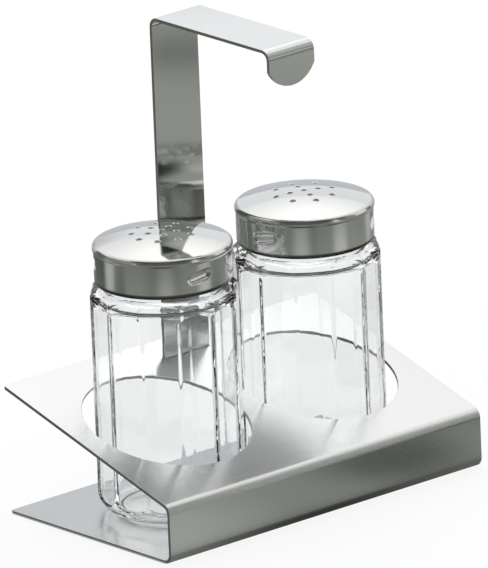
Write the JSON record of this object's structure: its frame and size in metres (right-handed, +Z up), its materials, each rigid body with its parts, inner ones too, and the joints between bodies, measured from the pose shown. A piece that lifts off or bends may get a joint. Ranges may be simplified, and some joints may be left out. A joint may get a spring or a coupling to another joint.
{
  "type": "salt and pepper shaker set",
  "caption": "Bent steel stand with a hooked carrying handle, holding faceted glass salt and pepper shakers with perforated steel screw caps.",
  "frame": {"origin": "middle of the underside of the stand's bottom plate, on the table", "axes": "+X along the stand from the salt shaker to the pepper shaker, +Y from the stand's folded front to its open back, +Z up"},
  "size_m": [0.1142, 0.0682, 0.1326],
  "materials": {
    "stand_steel": "fine satin, bent sheet",
    "handle_steel": "smooth satin strip",
    "cap_steel": "bright polished dome, fine turned skirt",
    "jar_glass": "clear pressed glass",
    "seal_polymer": "soft milky polymer"
  },
  "bodies": {
    "stand": {"stand_sheet": "stand_steel", "carrying_handle": "handle_steel"},
    "salt_jar": {"salt_jar": "jar_glass"},
    "pepper_jar": {"pepper_jar": "jar_glass"},
    "salt_seal": {"salt_seal_ring": "seal_polymer"},
    "pepper_seal": {"pepper_seal_ring": "seal_polymer"},
    "salt_cap": {"salt_cap": "cap_steel"},
    "pepper_cap": {"pepper_cap": "cap_steel"}
  },
  "joints": [
    {"name": "salt_shaker_lift", "type": "slide", "parent": "stand", "child": "salt_jar", "axis": [0, 0, 1], "range_m": [0, 0.035]},
    {"name": "salt_cap_turn", "type": "hinge", "parent": "salt_jar", "child": "salt_seal", "pos_m": [-0.02515, 0.00217, 0.0772], "axis": [0, 0, 1], "range_deg": [0, 240]},
    {"name": "salt_cap_rise", "type": "slide", "parent": "salt_seal", "child": "salt_cap", "axis": [0, 0, 1], "range_m": [0, 0.0148]},
    {"name": "pepper_shaker_lift", "type": "slide", "parent": "stand", "child": "pepper_jar", "axis": [0, 0, 1], "range_m": [0, 0.035]},
    {"name": "pepper_cap_turn", "type": "hinge", "parent": "pepper_jar", "child": "pepper_seal", "pos_m": [0.02515, 0.00017, 0.0772], "axis": [0, 0, 1], "range_deg": [0, 240]},
    {"name": "pepper_cap_rise", "type": "slide", "parent": "pepper_seal", "child": "pepper_cap", "axis": [0, 0, 1], "range_m": [0, 0.0148]}
  ],
  "couplings": [
    {"joint": "salt_cap_rise", "follows": "salt_cap_turn", "m_per_rad": 0.0035014},
    {"joint": "pepper_cap_rise", "follows": "pepper_cap_turn", "m_per_rad": 0.0035014}
  ]
}
